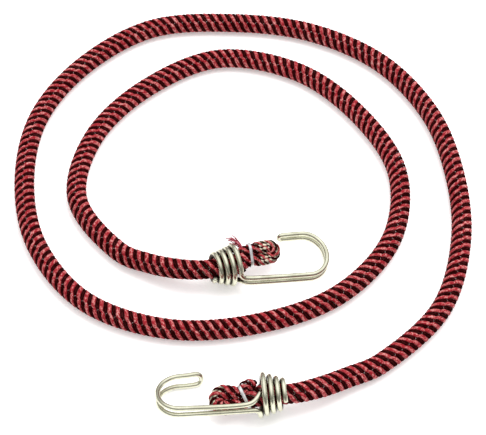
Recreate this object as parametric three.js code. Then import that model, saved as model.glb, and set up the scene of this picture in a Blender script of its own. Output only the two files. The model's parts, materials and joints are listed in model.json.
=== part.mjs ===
// A bungee cord: rubber strands in a braided sheath, with a bent wire hook that swivels on each end.
// It lies on the plane z = 0 in a loose double loop. Millimetres and degrees, +Z up.
import * as THREE from 'three';

// Cord. The sheath is a faceted tube with a flat facet downwards, and the strands fill its bore.
const cordDiameter = 9;
const cordSides = 12;
const gripDiameter = 8.4;
const sheathWall = 0.7;
const strandGap = 0.3;
const strandRows = [2, 4, 4, 2];
const runSteps = 48;

// Folded end of the cord: it thins to a neck inside the cone, folds back on itself and is clipped.
// Places along the cone's axis are counted from the rim, towards the hook's bow.
const neckStart = -4;
const neckEnd = 3;
const neckSteps = 6;
const clippedDiameter = 4.6;
const clippedReach = 2.2;
const foldGap = 0.6;
const foldSteps = 6;
const tailDiameter = 3.8;

// Clip ring, an open band round both legs of the fold
const ringPlace = 7.3;
const ringWidth = 1.4;
const ringThickness = 0.5;
const ringGap = 0.25;
const ringOpening = 2;
const ringArcSteps = 6;

// Hook wire, alike on both hooks: a conical coil, two legs, a bow and a closed nose
const wireDiameter = 2.25;
const wireSides = 8;
const coilTurns = 4;
const coilTurnSteps = 16;
const coilTurnGap = 0.55;
const coilClearance = 0.4;
const coilFlare = 0.85;
const legSpacing = 3.3;
const legBend = 2.5;
const bendSteps = 3;
const bowWidth = 23;
const bowDepth = 9.5;
const bowSteps = 9;
const noseSteps = 6;
const tuckClearance = 0.65;
const tuckSide = 4;
const tuckDepth = 0.5;
const leastWireGap = 0.4;
const floorGap = 0.15;

// The hooks are bent by hand, so each has its own shank, nose and way of lying.
// heading turns from +X about +Z, pitch raises the bow, and roll turns the shank about the cone's axis.
// The cord's fold turns back at foldStart and its tail ends at tailEnd. The fold stands foldShift off the
// axis at the ring, leans on by foldLean, and its tail lies on the side of +Y, raised by tailAngle.
const hookA = {
  shank: 33.5, splay: 2, arm: 19, noseSpread: 5.3, noseFlare: 0.8,
  rim: [8, -107.6], heading: 181.5, pitch: -2, roll: 156.5,
  foldDiameter: 6.2, foldStart: 15.2, foldShift: -1.2, foldLean: -3, tailAngle: 36,
  tailEnd: 3, tailSplay: 2.4, ringTilt: 16,
};
const hookB = {
  shank: 32, splay: 6, arm: 20, noseSpread: 3.1, noseFlare: -0.3,
  rim: [-2.4, -38.4], heading: 16, pitch: -7, roll: -2,
  foldDiameter: 5.2, foldStart: 16, foldShift: 2.9, foldLean: 5, tailAngle: 36,
  tailEnd: 3.6, tailSplay: 0.4, ringTilt: 0,
};

// The free run from hook A to hook B: x, y and the share of that end's lift off the floor.
const route = [
  [34, -103, 0.72], [46.5, -96.1, 0.28], [60.5, -88.5, 0.04], [88.5, -60, 0], [100.5, -22, 0],
  [100.5, 18, 0], [91, 56.5, 0], [68.5, 89.5, 0], [34.5, 110, 0], [-5, 116.5, 0], [-44.5, 112.5, 0],
  [-76.5, 88.5, 0], [-97, 54.5, 0], [-101.5, 15, 0], [-93, -24, 0], [-69, -55.5, 0], [-32, -70, 0],
  [8, -67, 0], [44.5, -51, 0], [69, -20, 0], [73.5, 19.5, 0], [56.5, 55.5, 0], [28, 83, 0], [-10.5, 92, 0],
  [-45.5, 73, 0], [-70, 41.5, 0], [-76, 3, 0], [-55, -27.7, 0.05], [-42, -35.1, 0.3], [-29, -40.5, 0.75],
];
const gripLead = 3.5;

const cordRadius = cordDiameter / 2;
const gripRadius = gripDiameter / 2;
const clippedRadius = clippedDiameter / 2;
const clippedPlace = clippedRadius + foldGap / 2;
const tailRadius = tailDiameter / 2;
const wireRadius = wireDiameter / 2;
const narrowRadius = gripRadius + coilClearance + wireRadius;
const wideRadius = narrowRadius + coilFlare * coilTurns;
const coilPitch = wireDiameter + coilTurnGap;
const legAngle = Math.asin((legSpacing / 2 + legBend) / wideRadius);
const coilAngle = 2 * Math.PI * coilTurns - legAngle;
const coilLength = (coilPitch * coilAngle) / (2 * Math.PI);
const radians = THREE.MathUtils.degToRad;
const smooth = THREE.MathUtils.smoothstep;
const mix = THREE.MathUtils.lerp;

// A regular section whose flats lie at the given distance from its middle, one of them facing each axis.
function roundSection(sides, flatRadius) {
  const cornerRadius = flatRadius / Math.cos(Math.PI / sides);
  return Array.from({ length: sides }, (_, i) => {
    const angle = (2 * Math.PI * (i + 0.5)) / sides;
    return new THREE.Vector2(cornerRadius * Math.cos(angle), cornerRadius * Math.sin(angle));
  });
}

// A rectangular section about its own middle.
function boxSection(width, height, middle = new THREE.Vector2()) {
  const corners = [[1, 1], [-1, 1], [-1, -1], [1, -1]];
  const half = new THREE.Vector2(width / 2, height / 2);
  return corners.map(([a, b]) => new THREE.Vector2(a, b).multiply(half).add(middle));
}

function tangentAt(points, i) {
  const before = points[Math.max(i - 1, 0)];
  const after = points[Math.min(i + 1, points.length - 1)];
  const here = points[i];
  const arriving = here.clone().sub(before).normalize();
  const leaving = after.clone().sub(here).normalize();
  return arriving.add(leaving).normalize();
}

// Stations along a path. The section's first axis is seeded at one point and carried on without twist.
function stationsAlong(points, seedIndex, seedNormal, radiusAt = () => 1) {
  const stations = points.map((point, i) => ({ point, tangent: tangentAt(points, i), size: radiusAt(i) }));
  const seed = stations[seedIndex];
  seed.normal = seedNormal.clone().projectOnPlane(seed.tangent).normalize();
  const carry = (from, to) => {
    const turn = new THREE.Quaternion().setFromUnitVectors(from.tangent, to.tangent);
    to.normal = from.normal.clone().applyQuaternion(turn).projectOnPlane(to.tangent).normalize();
  };
  for (let i = seedIndex + 1; i < stations.length; i++) carry(stations[i - 1], stations[i]);
  for (let i = seedIndex - 1; i >= 0; i--) carry(stations[i + 1], stations[i]);
  return stations;
}

// The points of a section carried by a station and scaled by its size.
function ringAt(station, section) {
  const across = station.tangent.clone().cross(station.normal);
  return section.map((corner) => station.point.clone()
    .addScaledVector(station.normal, corner.x * station.size)
    .addScaledVector(across, corner.y * station.size));
}

// A closed solid swept through stations. With a bore it is an open-ended tube, and without one a solid bar.
function sweep(stations, section, bore = null) {
  const positions = [];
  const quad = (a, b, c, d) => [a, b, c, a, c, d].forEach((p) => positions.push(p.x, p.y, p.z));
  const outer = stations.map((station) => ringAt(station, section));
  const inner = bore && stations.map((station) => ringAt(station, bore));
  const last = stations.length - 1;
  section.forEach((_, j) => {
    const k = (j + 1) % section.length;
    for (let i = 0; i < last; i++) {
      quad(outer[i][j], outer[i][k], outer[i + 1][k], outer[i + 1][j]);
      if (inner) quad(inner[i][k], inner[i][j], inner[i + 1][j], inner[i + 1][k]);
    }
    const startMiddle = stations[0].point;
    const endMiddle = stations[last].point;
    if (inner) {
      quad(outer[0][k], outer[0][j], inner[0][j], inner[0][k]);
      quad(outer[last][j], outer[last][k], inner[last][k], inner[last][j]);
    } else {
      [startMiddle, outer[0][k], outer[0][j]].forEach((p) => positions.push(p.x, p.y, p.z));
      [endMiddle, outer[last][j], outer[last][k]].forEach((p) => positions.push(p.x, p.y, p.z));
    }
  });
  const geometry = new THREE.BufferGeometry();
  geometry.setAttribute('position', new THREE.Float32BufferAttribute(positions, 3));
  geometry.computeVertexNormals();
  return geometry;
}

// The least free gap of a tube to itself, between stretches that lie further apart along it than one bend.
function leastSelfGap(points, radii, apart) {
  const samples = [];
  let travelled = 0;
  for (let i = 1; i < points.length; i++) {
    const stretch = points[i].distanceTo(points[i - 1]);
    const count = Math.ceil(stretch / wireRadius);
    for (let j = 0; j < count; j++) {
      const share = j / count;
      samples.push({
        at: travelled + stretch * share,
        point: points[i - 1].clone().lerp(points[i], share),
        radius: mix(radii[i - 1], radii[i], share),
      });
    }
    travelled += stretch;
  }
  let least = Infinity;
  samples.forEach((a, i) => samples.slice(i + 1).forEach((b) => {
    if (b.at - a.at > apart) least = Math.min(least, a.point.distanceTo(b.point) - a.radius - b.radius);
  }));
  return least;
}

// The bow's outline in the plane of the hook: shank, bow and arm, as distances along and across the shank.
function bowOutline(shape) {
  const outline = [new THREE.Vector2(2 * legBend, 0)];
  for (let i = 0; i <= bowSteps; i++) {
    const angle = Math.PI / 2 - (Math.PI * i) / bowSteps;
    outline.push(new THREE.Vector2(
      shape.shank + bowDepth * Math.cos(angle),
      (bowWidth / 2) * (Math.sin(angle) - 1),
    ));
  }
  const noseMiddle = shape.shank + bowDepth - shape.arm + shape.noseSpread / 2;
  for (const share of [0.5, 1]) {
    const across = -bowWidth - shape.noseFlare * share ** 2;
    outline.push(new THREE.Vector2(mix(shape.shank, noseMiddle, share), across));
  }
  const pivot = new THREE.Vector2(0, 0);
  return outline.map((p) => p.rotateAround(pivot, radians(shape.splay)));
}

// The hook's wire in its own frame: x along the cone's axis from the rim to the bow, y out to the shank.
function hookPath(shape) {
  const path = [];
  const coilSteps = coilTurns * coilTurnSteps;
  for (let i = 0; i <= coilSteps; i++) {
    const share = i / coilSteps;
    const angle = coilAngle * share;
    const radius = mix(narrowRadius, wideRadius, share);
    const along = coilLength * (share - 1);
    path.push(new THREE.Vector3(along, radius * Math.cos(angle), radius * Math.sin(angle)));
  }
  const coilEnd = path[coilSteps];
  const halfLeg = legSpacing / 2;
  for (let i = 1; i <= bendSteps; i++) {
    const angle = ((Math.PI / 2) * i) / bendSteps;
    const left = 1 - Math.sin(angle);
    path.push(new THREE.Vector3(
      legBend * (1 - Math.cos(angle)),
      mix(wideRadius, coilEnd.y, left),
      -halfLeg - legBend * left,
    ));
  }
  const legStart = path.length;
  const outline = bowOutline(shape);
  const spreadAt = (i) => mix(halfLeg, shape.noseSpread / 2, smooth(i, 1, outline.length - 1));
  const side = (sign) => outline.map((p, i) => new THREE.Vector3(p.x, wideRadius + p.y, sign * spreadAt(i)));
  const near = side(-1);
  path.push(...near);
  const noseMiddle = near[near.length - 1].clone().setZ(0);
  const noseWay = near[near.length - 1].clone().sub(near[near.length - 2]).setZ(0).normalize();
  const noseRadius = shape.noseSpread / 2;
  for (let i = 1; i < noseSteps; i++) {
    const angle = Math.PI * (i / noseSteps - 0.5);
    const tip = noseMiddle.clone().addScaledVector(noseWay, noseRadius * Math.cos(angle));
    path.push(tip.setZ(noseRadius * Math.sin(angle)));
  }
  path.push(...side(1).reverse());
  const tuckRadius = wideRadius - wireDiameter - tuckClearance;
  path.push(new THREE.Vector3(legBend, wideRadius - tuckClearance, halfLeg + tuckClearance));
  path.push(new THREE.Vector3(-tuckDepth, Math.sqrt(tuckRadius ** 2 - tuckSide ** 2), tuckSide));
  return { path, legStart };
}

// The frame of a hook: its rim's middle, the cone's axis, the shank's side and the side of the cord's tail.
function hookFrame(shape, path) {
  const heading = radians(shape.heading);
  const pitch = radians(shape.pitch);
  const roll = radians(shape.roll);
  const level = new THREE.Vector3(Math.cos(heading), Math.sin(heading), 0);
  const forward = level.multiplyScalar(Math.cos(pitch)).setZ(Math.sin(pitch));
  const right = new THREE.Vector3(Math.sin(heading), -Math.cos(heading), 0);
  const above = right.clone().cross(forward);
  const shankSide = right.clone().multiplyScalar(Math.cos(roll)).addScaledVector(above, Math.sin(roll));
  const basis = new THREE.Matrix4().makeBasis(forward, shankSide, forward.clone().cross(shankSide));
  const tailAngle = radians(shape.tailAngle);
  const raised = new THREE.Vector3(0, Math.cos(tailAngle), Math.sin(tailAngle));
  const tail = raised.projectOnPlane(forward).normalize();
  const lowest = Math.min(...path.map((p) => p.clone().applyMatrix4(basis).z));
  const rim = new THREE.Vector3(...shape.rim, floorGap + wireRadius - lowest);
  const at = (along, across = 0) => rim.clone().addScaledVector(forward, along).addScaledVector(tail, across);
  return { rim, forward, tail, basis, at };
}

// The cord's end from the cone's narrow side to the cut tail, as points and diameters.
function cordEnd(frame, shape) {
  const foldRadius = shape.foldDiameter / 2 + foldGap / 2;
  const lean = Math.tan(radians(shape.foldLean));
  const clipStart = ringPlace - clippedReach;
  const clipEnd = ringPlace + clippedReach;
  const tailSide = clippedPlace + shape.tailSplay;
  const middle = (along) => shape.foldShift + lean * (along - ringPlace);
  const points = [];
  const sizes = [];
  const add = (along, across, radius) => {
    points.push(frame.at(along, across));
    sizes.push(radius / cordRadius);
  };
  for (let i = 0; i <= neckSteps; i++) {
    const along = mix(neckStart, clipStart, i / neckSteps);
    const across = (middle(clipStart) - clippedPlace) * smooth(along, neckStart, clipStart);
    add(along, across, mix(gripRadius, clippedRadius, smooth(along, neckStart, neckEnd)));
  }
  add(clipEnd, middle(clipEnd) - clippedPlace, clippedRadius);
  for (let i = 0; i <= foldSteps; i++) {
    const angle = Math.PI * (i / foldSteps - 0.5);
    const along = shape.foldStart + foldRadius * Math.cos(angle);
    add(along, middle(along) + foldRadius * Math.sin(angle), shape.foldDiameter / 2);
  }
  add(clipEnd, middle(clipEnd) + clippedPlace, clippedRadius);
  add(clipStart, middle(clipStart) + clippedPlace, clippedRadius);
  add(shape.tailEnd, middle(shape.tailEnd) + tailSide, tailRadius);
  return { points, sizes };
}

// The whole cord as stations from one cut tail to the other.
function cordStations(frameA, frameB) {
  const lead = coilLength + gripLead;
  const startA = frameA.at(-lead);
  const startB = frameB.at(-lead);
  const half = route.length / 2;
  const laid = route.map(([x, y, share], i) => {
    const liftedTo = i < half ? startA.z : startB.z;
    return new THREE.Vector3(x, y, mix(cordRadius, liftedTo, share));
  });
  const run = new THREE.CatmullRomCurve3([startA, ...laid, startB]).getSpacedPoints(runSteps);
  run.forEach((point) => point.setZ(Math.max(point.z, cordRadius)));
  const runSize = (_, i) => (i === 0 || i === runSteps ? gripRadius / cordRadius : 1);
  const endA = cordEnd(frameA, hookA);
  const endB = cordEnd(frameB, hookB);
  const points = [...endA.points.reverse(), ...run, ...endB.points];
  const sizes = [...endA.sizes.reverse(), ...run.map(runSize), ...endB.sizes];
  const up = new THREE.Vector3(0, 0, 1);
  const firstRun = endA.points.length;
  const lastRun = firstRun + runSteps;
  const fromA = stationsAlong(points, firstRun, up, (i) => sizes[i]);
  const fromB = stationsAlong(points, lastRun, up, (i) => sizes[i]);
  return fromA.map((station, i) => {
    if (i < firstRun) return station;
    if (i > lastRun) return fromB[i];
    return { ...station, normal: up.clone().projectOnPlane(station.tangent).normalize() };
  });
}

// Middles of the strands in the bore, row by row, and the pitch between them.
function strandLayout() {
  const rowPlace = (row) => row - (strandRows.length - 1) / 2;
  const corner = (count, row) => Math.hypot(count / 2, Math.abs(rowPlace(row)) + 0.5);
  const reach = Math.max(...strandRows.map(corner));
  const pitch = (cordRadius - sheathWall - strandGap) / reach;
  const middles = strandRows.flatMap((count, row) => Array.from({ length: count }, (_, i) => (
    new THREE.Vector2(rowPlace(row) * pitch, (i - (count - 1) / 2) * pitch)
  )));
  return { middles, side: pitch - strandGap };
}

// The clip ring's band: round one leg, along, round the other leg, open on its underside.
function ringGeometry(frame, shape) {
  const tilt = radians(shape.ringTilt);
  const lean = radians(shape.foldLean);
  const normal = frame.forward.clone().multiplyScalar(Math.cos(tilt));
  normal.addScaledVector(frame.tail, -Math.sin(tilt));
  const along = frame.tail.clone().projectOnPlane(normal).normalize();
  const under = normal.clone().cross(along);
  if (under.z > 0) under.negate();
  const slant = Math.abs(tilt + lean);
  const legPlace = clippedPlace / Math.cos(slant);
  const legReach = clippedRadius / Math.cos(slant) + (ringWidth / 2) * Math.tan(slant);
  const bandRadius = legReach + ringGap + ringThickness / 2;
  const middle = frame.at(ringPlace, shape.foldShift);
  const point = (a, b) => middle.clone().addScaledVector(along, a).addScaledVector(under, b);
  const path = [point(ringOpening / 2, bandRadius)];
  for (const sign of [1, -1]) {
    for (let i = 0; i <= ringArcSteps; i++) {
      const angle = sign * Math.PI * (0.5 - i / ringArcSteps);
      path.push(point(sign * (legPlace + bandRadius * Math.cos(angle)), bandRadius * Math.sin(angle)));
    }
  }
  path.push(point(-ringOpening / 2, bandRadius));
  return sweep(stationsAlong(path, 0, normal), boxSection(ringWidth, ringThickness));
}

const finishes = {
  sheath: { color: 0xb0343e, roughness: 0.85, metalness: 0 },
  strand: { color: 0xd8c7a2, roughness: 0.7, metalness: 0 },
  wire: { color: 0xd9d4c4, roughness: 0.25, metalness: 1 },
  ring: { color: 0xf1eef2, roughness: 0.4, metalness: 1 },
};

function piece(name, geometry, finish) {
  const mesh = new THREE.Mesh(geometry, new THREE.MeshStandardMaterial(finish));
  mesh.name = name;
  return mesh;
}

function hookMesh(name, wire, frame) {
  const seed = new THREE.Vector3(0, 0, 1);
  const section = roundSection(wireSides, wireRadius * Math.cos(Math.PI / wireSides));
  const mesh = piece(name, sweep(stationsAlong(wire.path, wire.legStart, seed), section), finishes.wire);
  mesh.position.copy(frame.rim);
  mesh.quaternion.setFromRotationMatrix(frame.basis);
  return mesh;
}

function reportGap(name, points, radii, apart) {
  const gap = leastSelfGap(points, radii, apart);
  console.log(`${name}: least gap to itself ${gap.toFixed(2)} mm, wanted over ${leastWireGap} mm`);
}

const wireA = hookPath(hookA);
const wireB = hookPath(hookB);
const frameA = hookFrame(hookA, wireA.path);
const frameB = hookFrame(hookB, wireB.path);
const stations = cordStations(frameA, frameB);
const strands = strandLayout();

const bungee = new THREE.Group();
bungee.name = 'bungee_cord';

const cord = new THREE.Group();
cord.add(piece(
  'braided_sheath',
  sweep(stations, roundSection(cordSides, cordRadius), roundSection(cordSides, cordRadius - sheathWall)),
  finishes.sheath,
));
strands.middles.forEach((middle, i) => {
  const name = `rubber_strand_${String(i + 1).padStart(2, '0')}`;
  const section = boxSection(strands.side, strands.side, middle);
  cord.add(piece(name, sweep(stations, section), finishes.strand));
});
cord.add(piece('clip_ring_a', ringGeometry(frameA, hookA), finishes.ring));
cord.add(piece('clip_ring_b', ringGeometry(frameB, hookB), finishes.ring));
bungee.add(cord);
bungee.add(hookMesh('hook_a', wireA, frameA));
bungee.add(hookMesh('hook_b', wireB, frameB));

const wireBendReach = 3 * wireDiameter;
const foldReach = (Math.PI / 2) * (hookA.foldDiameter + foldGap);
reportGap('hook_a', wireA.path, wireA.path.map(() => wireRadius), wireBendReach);
reportGap('hook_b', wireB.path, wireB.path.map(() => wireRadius), wireBendReach);
const cordRadii = stations.map((station) => station.size * cordRadius);
reportGap('braided_sheath', stations.map((station) => station.point), cordRadii, foldReach);

export default bungee;
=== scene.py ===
"""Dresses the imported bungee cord: braid, rubber strands, clip rings, wire hooks, floor, light and camera."""
import json
import logging
import random
from dataclasses import dataclass, field
from enum import Enum
from math import asin, ceil, cos, pi, radians, sin, sqrt, tan
from typing import NamedTuple

import bpy
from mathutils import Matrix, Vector


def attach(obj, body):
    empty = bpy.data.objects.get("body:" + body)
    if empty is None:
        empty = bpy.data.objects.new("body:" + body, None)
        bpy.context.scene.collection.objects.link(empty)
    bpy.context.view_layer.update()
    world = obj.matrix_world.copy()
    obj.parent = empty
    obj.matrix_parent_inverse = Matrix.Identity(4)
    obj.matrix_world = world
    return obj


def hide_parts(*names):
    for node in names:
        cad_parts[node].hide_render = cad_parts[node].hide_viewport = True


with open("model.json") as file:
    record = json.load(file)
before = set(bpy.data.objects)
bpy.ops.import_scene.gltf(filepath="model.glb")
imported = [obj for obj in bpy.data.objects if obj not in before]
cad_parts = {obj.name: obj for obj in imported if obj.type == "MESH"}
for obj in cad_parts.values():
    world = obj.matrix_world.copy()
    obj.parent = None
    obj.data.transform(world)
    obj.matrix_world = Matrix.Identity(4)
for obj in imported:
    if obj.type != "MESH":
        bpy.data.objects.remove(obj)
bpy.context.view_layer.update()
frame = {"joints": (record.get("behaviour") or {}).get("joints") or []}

MM = 0.001
FULL_TURN = 2 * pi
LOG = logging.getLogger("bungee_cord")

Triple = tuple[float, float, float]
Range = tuple[float, float]
Piece = bpy.types.Object
Tree = bpy.types.NodeTree


class Body(Enum):
    """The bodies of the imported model."""

    CORD = "cord"
    HOOK_A = "hook_a"
    HOOK_B = "hook_b"


class Slot(Enum):
    """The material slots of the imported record."""

    SHEATH = "sheath"
    STRAND = "strand"
    RING = "ring"
    WIRE = "wire"


class Section(Enum):
    """The section that a path is swept with: a round bar or a flat band with rounded edges."""

    ROUND = "round bar"
    BAND = "flat band"


class Hand(Enum):
    """The way a yarn winds round the cord."""

    RIGHT = 1.0
    LEFT = -1.0


class Knot(NamedTuple):
    """A point of a given path in millimetres, and the radius there."""

    point: Vector
    size: float


class Station(NamedTuple):
    """A point of a smooth path in millimetres, its radius, and the way that a section's first axis faces."""

    point: Vector
    size: float
    side: Vector


def mix(start: float, end: float, share: float) -> float:
    """Gives the value at a share of the way from start to end."""
    return start + (end - start) * share


def smooth(value: float, low: float, high: float) -> float:
    """Gives the smooth step of a value between two limits."""
    share = min(max((value - low) / (high - low), 0.0), 1.0)
    return share * share * (3 - 2 * share)


def hump(value: float, low: float, top: float, high: float) -> float:
    """Gives a smooth rise from 0 to 1 at the top and back."""
    return smooth(value, low, top) - smooth(value, top, high)


def flattened(vector: Vector, normal: Vector) -> Vector:
    """Gives the unit vector of what is left of a vector across a unit normal."""
    return (vector - normal * vector.dot(normal)).normalized()


def smooth_line(knots: list[Knot], step: float) -> list[Knot]:
    """Runs a centripetal Catmull-Rom curve through knots.

    Args:
        knots: The knots in order, in millimetres.
        step: The greatest distance between two points of the result.

    Returns:
        The knots again with closer ones between them.
    """
    points = [knot.point for knot in knots]
    points = [points[0] * 2 - points[1], *points, points[-1] * 2 - points[-2]]
    line = []
    for i in range(1, len(points) - 2):
        p0, p1, p2, p3 = points[i - 1:i + 3]
        t0, t1, t2 = ((b - a).length ** 0.5 for a, b in ((p0, p1), (p1, p2), (p2, p3)))
        leave = ((p1 - p0) / t0 - (p2 - p0) / (t0 + t1) + (p2 - p1) / t1) * t1
        arrive = ((p2 - p1) / t1 - (p3 - p1) / (t1 + t2) + (p3 - p2) / t2) * t1
        count = max(1, ceil((p2 - p1).length / step))
        for j in range(count):
            share = j / count
            square, cube = share ** 2, share ** 3
            point = p1 * (2 * cube - 3 * square + 1) + leave * (cube - 2 * square + share)
            point += p2 * (3 * square - 2 * cube) + arrive * (cube - square)
            line.append(Knot(point, mix(knots[i - 1].size, knots[i].size, share)))
    line.append(knots[-1])
    return line


def tangents(points: list[Vector]) -> list[Vector]:
    """Gives the unit tangents of a line of points."""
    last = len(points) - 1
    return [(points[min(i + 1, last)] - points[max(i - 1, 0)]).normalized() for i in range(last + 1)]


def framed(knots: list[Knot], face: Vector, first: int = 0, last: int = 0) -> list[Station]:
    """Gives each point of a path a side.

    Args:
        knots: The points of the path.
        face: The way that the sides from first to last face.
        first: The first point whose side faces that way.
        last: The last point whose side faces that way.

    Returns:
        The stations. Sides before first and after last are carried on without twist.
    """
    ways = tangents([knot.point for knot in knots])
    sides = [flattened(face, way) for way in ways]
    for i in range(first - 1, -1, -1):
        sides[i] = flattened(ways[i + 1].rotation_difference(ways[i]) @ sides[i + 1], ways[i])
    for i in range(last + 1, len(knots)):
        sides[i] = flattened(ways[i - 1].rotation_difference(ways[i]) @ sides[i - 1], ways[i])
    return [Station(knot.point, knot.size, side) for knot, side in zip(knots, sides)]


@dataclass(frozen=True)
class Link:
    """An output of a node. Arithmetic with it adds Math nodes."""

    maker: "NodeMaker"
    socket: bpy.types.NodeSocket

    def __add__(self, other: "Link | float") -> "Link":
        """Gives the sum."""
        return self.maker.math("ADD", self, other)

    def __sub__(self, other: "Link | float") -> "Link":
        """Gives the difference."""
        return self.maker.math("SUBTRACT", self, other)

    def __rsub__(self, other: float) -> "Link":
        """Gives what is left of a plain number."""
        return self.maker.math("SUBTRACT", other, self)

    def __mul__(self, other: "Link | float") -> "Link":
        """Gives the product."""
        return self.maker.math("MULTIPLY", self, other)

    def __truediv__(self, other: "Link | float") -> "Link":
        """Gives the quotient."""
        return self.maker.math("DIVIDE", self, other)

    def beside(self, output: str | int) -> "Link":
        """Gives another output of the same node, by its name or place."""
        return Link(self.maker, self.socket.node.outputs[output])


Value = float | bool | str | tuple | Link


class NodeMaker:
    """Adds nodes to a tree."""

    def __init__(self, tree: Tree) -> None:
        """Takes the tree."""
        self.tree = tree

    def give(self, value: Value, socket: bpy.types.NodeSocket) -> None:
        """Links an output to an input, or sets a plain value on it. Colours get full alpha.

        Args:
            value: The output or the value.
            socket: The input.
        """
        if isinstance(value, Link):
            self.tree.links.new(value.socket, socket)
        else:
            socket.default_value = (*value, 1.0) if socket.type == "RGBA" else value

    def node(self, kind: str, inputs: dict[str, Value], **settings: str) -> Link:
        """Adds a node.

        Args:
            kind: The node's type.
            inputs: What its inputs get, by their identifiers.
            settings: The node's own settings.

        Returns:
            Its first output.
        """
        node = self.tree.nodes.new(kind)
        for name, setting in settings.items():
            setattr(node, name, setting)
        sockets = {socket.identifier: socket for socket in node.inputs}
        for name, value in inputs.items():
            self.give(value, sockets[name])
        return Link(self, node.outputs[0])

    def math(self, operation: str, first: Value, second: Value = 0.0) -> Link:
        """Adds a Math node."""
        return self.node("ShaderNodeMath", {"Value": first, "Value_001": second}, operation=operation)

    def vector(self, operation: str, first: Link, **others: Value) -> Link:
        """Adds a Vector Math node."""
        return self.node("ShaderNodeVectorMath", {"Vector": first, **others}, operation=operation)

    def noise(self, spot: Link, scale: float, detail: float) -> Link:
        """Adds noise from 0 to 1."""
        return self.node("ShaderNodeTexNoise", {"Vector": spot, "Scale": scale, "Detail": detail})

    def ramp(self, value: Link, limits: tuple, results: Range = (0.0, 1.0), kind: str = "LINEAR") -> Link:
        """Maps a number between two limits to two results, by a line or another kind of step."""
        inputs = dict(zip(("Value", "From Min", "From Max", "To Min", "To Max"), (value, *limits, *results)))
        return self.node("ShaderNodeMapRange", inputs, interpolation_type=kind)

    def blended(self, share: Link, first: Triple | Link, second: Triple) -> Link:
        """Mixes two colours by the share of the second."""
        inputs = {"Factor_Float": share, "A_Color": first, "B_Color": second}
        return self.node("ShaderNodeMix", inputs, data_type="RGBA").beside(2)


class TreeMaker(NodeMaker):
    """Builds one Geometry Nodes tree with named inputs, which starts from the lines of a wire mesh."""

    def __init__(self, name: str) -> None:
        """Starts a tree.

        Args:
            name: The tree's name.
        """
        super().__init__(bpy.data.node_groups.new(name, "GeometryNodeTree"))
        self.tree.is_modifier = True
        for way in ("INPUT", "OUTPUT"):
            self.tree.interface.new_socket("Geometry", in_out=way, socket_type="NodeSocketGeometry")
        self.given = self.tree.nodes.new("NodeGroupInput")
        self.lines = self.node("GeometryNodeMeshToCurve", {"Mesh": Link(self, self.given.outputs[0])})

    def wanted(self, kind: str, *names: str) -> list[Link]:
        """Adds named inputs of one kind.

        Args:
            kind: Float, Int or Material.
            names: The inputs' names.

        Returns:
            The inputs.
        """
        for name in names:
            self.tree.interface.new_socket(name, in_out="INPUT", socket_type=f"NodeSocket{kind}")
        return [Link(self, self.given.outputs[name]) for name in names]

    def named(self, name: str, kind: str) -> Link:
        """Reads a named attribute of a kind such as FLOAT."""
        return self.node("GeometryNodeInputNamedAttribute", {"Name": name}, data_type=kind)

    def stored(self, geometry: Link, name: str, value: Link) -> Link:
        """Stores a number on each point under a name, and gives the geometry."""
        inputs = {"Geometry": geometry, "Name": name, "Value": value}
        return self.node("GeometryNodeStoreNamedAttribute", inputs, data_type="FLOAT", domain="POINT")

    def sampled(self, name: str, kind: str, place: Link) -> Link:
        """Samples an attribute of the lines, and their position and tangent, so far from their start."""
        inputs = {"Curves": self.lines, "Value": self.named(name, kind), "Length": place}
        return self.node("GeometryNodeSampleCurve", inputs, data_type=kind, mode="LENGTH").beside("Value")

    def parameter(self, name: str) -> Link:
        """Gives the Factor, Length or Index of each point along its spline."""
        return self.node("GeometryNodeSplineParameter", {}).beside(name)

    def oval(self, sides: Link, radius: float, thickness: Link, width: Value) -> Link:
        """Draws an oval section that starts on its inner side.

        Args:
            sides: How many sides it has.
            radius: The radius of the circle that is stretched.
            thickness: The stretch along the first axis.
            width: The stretch along the second axis.

        Returns:
            The section's curve.
        """
        circle = self.node("GeometryNodeCurvePrimitiveCircle", {"Resolution": sides, "Radius": radius})
        scale = self.node("ShaderNodeCombineXYZ", {"X": thickness, "Y": width, "Z": 1.0})
        turn = {"Geometry": circle, "Rotation": (0.0, 0.0, pi), "Scale": scale}
        return self.node("GeometryNodeTransform", turn)

    def finished(self, curve: Link, normal: Link, section: Link, scale: Link) -> Tree:
        """Sweeps a section with caps, and ends the tree in real geometry with its material.

        Args:
            curve: The curve, whose places along it are kept.
            normal: The way that the section's first axis faces.
            section: The section, whose places round it are kept.
            scale: The scale of the section.

        Returns:
            The tree.
        """
        turned = self.node("GeometryNodeSetCurveNormal", {"Curve": curve, "Normal": normal}, mode="FREE")
        along = self.stored(turned, "along", self.parameter("Length"))
        around = self.stored(section, "around", self.parameter("Factor"))
        inputs = {"Curve": along, "Profile Curve": around, "Scale": scale, "Fill Caps": True}
        mesh = self.node("GeometryNodeCurveToMesh", inputs)
        shaded = self.node("GeometryNodeSetShadeSmooth", {"Geometry": mesh})
        real = self.node("GeometryNodeRealizeInstances", {"Geometry": shaded})
        material, = self.wanted("Material", "Material")
        dressed = self.node("GeometryNodeSetMaterial", {"Geometry": real, "Material": material})
        self.give(dressed, self.tree.nodes.new("NodeGroupOutput").inputs[0])
        return self.tree


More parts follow.
